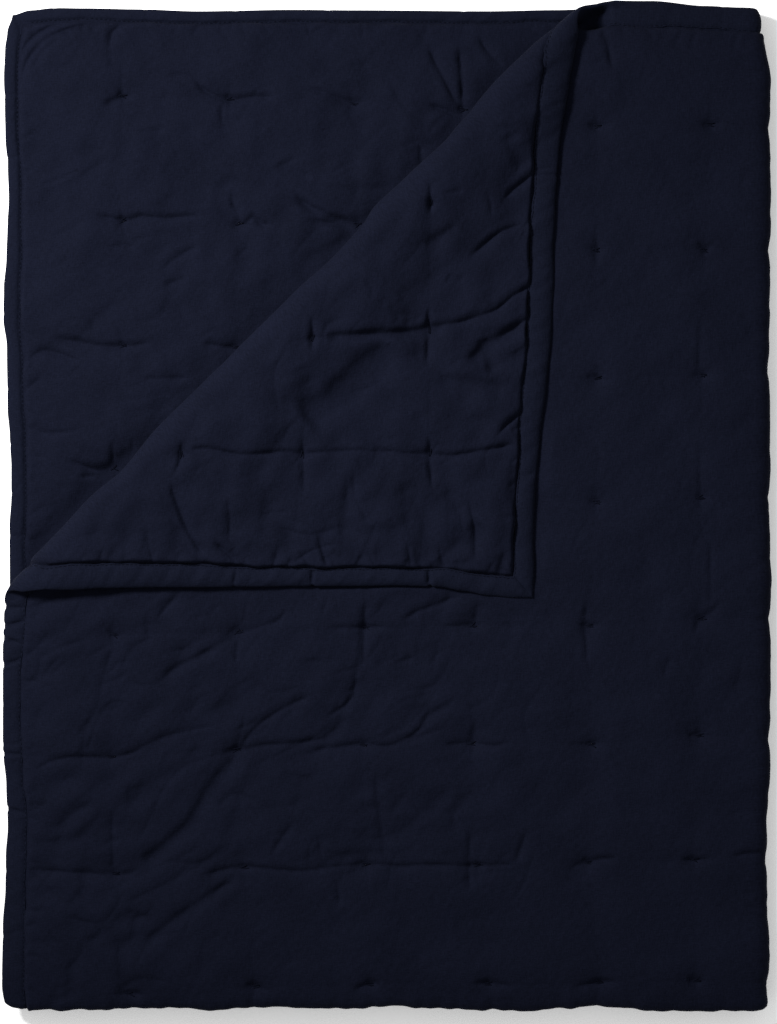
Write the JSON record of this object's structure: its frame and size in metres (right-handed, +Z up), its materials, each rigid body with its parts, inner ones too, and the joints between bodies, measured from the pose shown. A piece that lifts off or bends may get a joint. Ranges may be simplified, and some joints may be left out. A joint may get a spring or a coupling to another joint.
{
  "type": "bedspread",
  "caption": "Quilted, tufted cotton bedspread with bound edges, folded into a flat stack with the free corner of its top layer turned back, lying on a surface.",
  "frame": {"origin": "on the surface the folded bedspread lies on, under the middle of its box", "axes": "+Z up off the surface, +Y along the folded length from the bottom fold towards the open head edges, +X across towards the right fold"},
  "size_m": [0.7656, 1.0068, 0.0608],
  "materials": {
    "quilt_cloth": "matte plain-woven cotton, dark navy",
    "binding_cloth": "matte plain-woven cotton strip, dark navy"
  },
  "bodies": {
    "root": {"quilt": "quilt_cloth", "binding_left": "binding_cloth", "binding_right": "binding_cloth", "binding_head": "binding_cloth", "binding_foot": "binding_cloth"}
  },
  "joints": []
}
